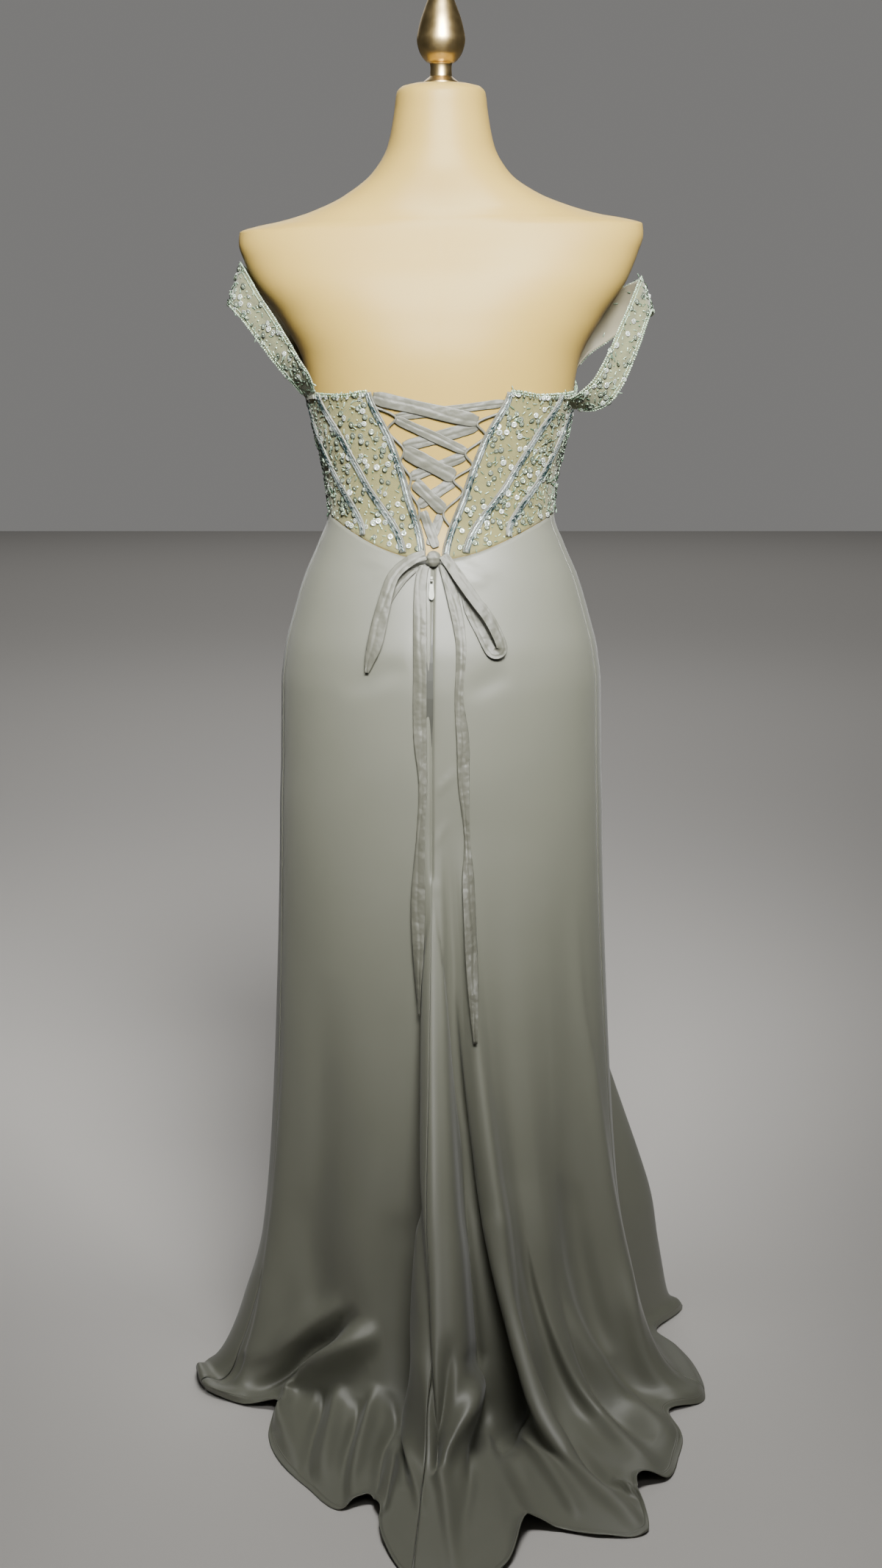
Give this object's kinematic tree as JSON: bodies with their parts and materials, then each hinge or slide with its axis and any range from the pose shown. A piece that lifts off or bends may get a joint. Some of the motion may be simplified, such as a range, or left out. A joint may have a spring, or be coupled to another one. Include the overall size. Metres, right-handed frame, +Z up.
{
  "type": "evening gown on dress form",
  "caption": "Off-shoulder gown with a sequined tulle corset bodice, laced back, satin bow and short train, on a limbless dress form.",
  "frame": {"origin": "on the floor at the axis of the form's pole, the middle of the base's underside", "axes": "+Z up; +Y the way a wearer would face, so the laced back faces -Y; +X the wearer's right"},
  "size_m": [0.5693, 0.8207, 1.5543],
  "materials": {
    "satin": "soft satin sheen",
    "tulle": "sheer net",
    "bead_trim": "glossy beads",
    "sequined_band": "net with sequins",
    "form_cover": "smooth satin jersey",
    "gilt_metal": "satin",
    "dark_metal": "satin"
  },
  "bodies": {
    "gown": {"form_torso": "form_cover", "form_finial": "gilt_metal", "form_pole": "dark_metal", "form_base": "dark_metal", "bodice_back_left": "tulle", "bodice_side_back_left": "tulle", "bodice_side_left": "tulle", "bodice_cup_left": "tulle", "bodice_back_right": "tulle", "bodice_side_back_right": "tulle", "bodice_side_right": "tulle", "bodice_cup_right": "tulle", "bodice_front": "tulle", "bone_lace_left": "bead_trim", "bone_middle_left": "bead_trim", "bone_outer_left": "bead_trim", "bone_princess_left": "bead_trim", "bone_lace_right": "bead_trim", "bone_middle_right": "bead_trim", "bone_outer_right": "bead_trim", "bone_princess_right": "bead_trim", "strap_left": "sequined_band", "strap_right": "sequined_band", "skirt_back_right": "satin", "skirt_front": "satin", "skirt_back_left": "satin", "lace_loops_left": "satin", "lace_loops_right": "satin", "lace_strand_1": "satin", "lace_strand_2": "satin", "lace_strand_3": "satin", "lace_strand_4": "satin", "lace_strand_5": "satin", "lace_strand_6": "satin", "lace_strand_7": "satin", "lace_strand_8": "satin", "lace_strand_9": "satin", "lace_strand_10": "satin", "bow_knot": "satin", "bow_tail_left": "satin", "bow_tail_right": "satin", "bow_loop_left": "satin", "bow_loop_right": "satin", "zip_tape": "satin", "zip_slider": "dark_metal"},
    "zip_pull": {"zip_pull": "dark_metal"}
  },
  "joints": [
    {"name": "zip_pull_swing", "type": "hinge", "parent": "gown", "child": "zip_pull", "pos_m": [-0.01, -0.11044, 0.913], "axis": [-1, 0, 0], "range_deg": [0, 95]}
  ]
}
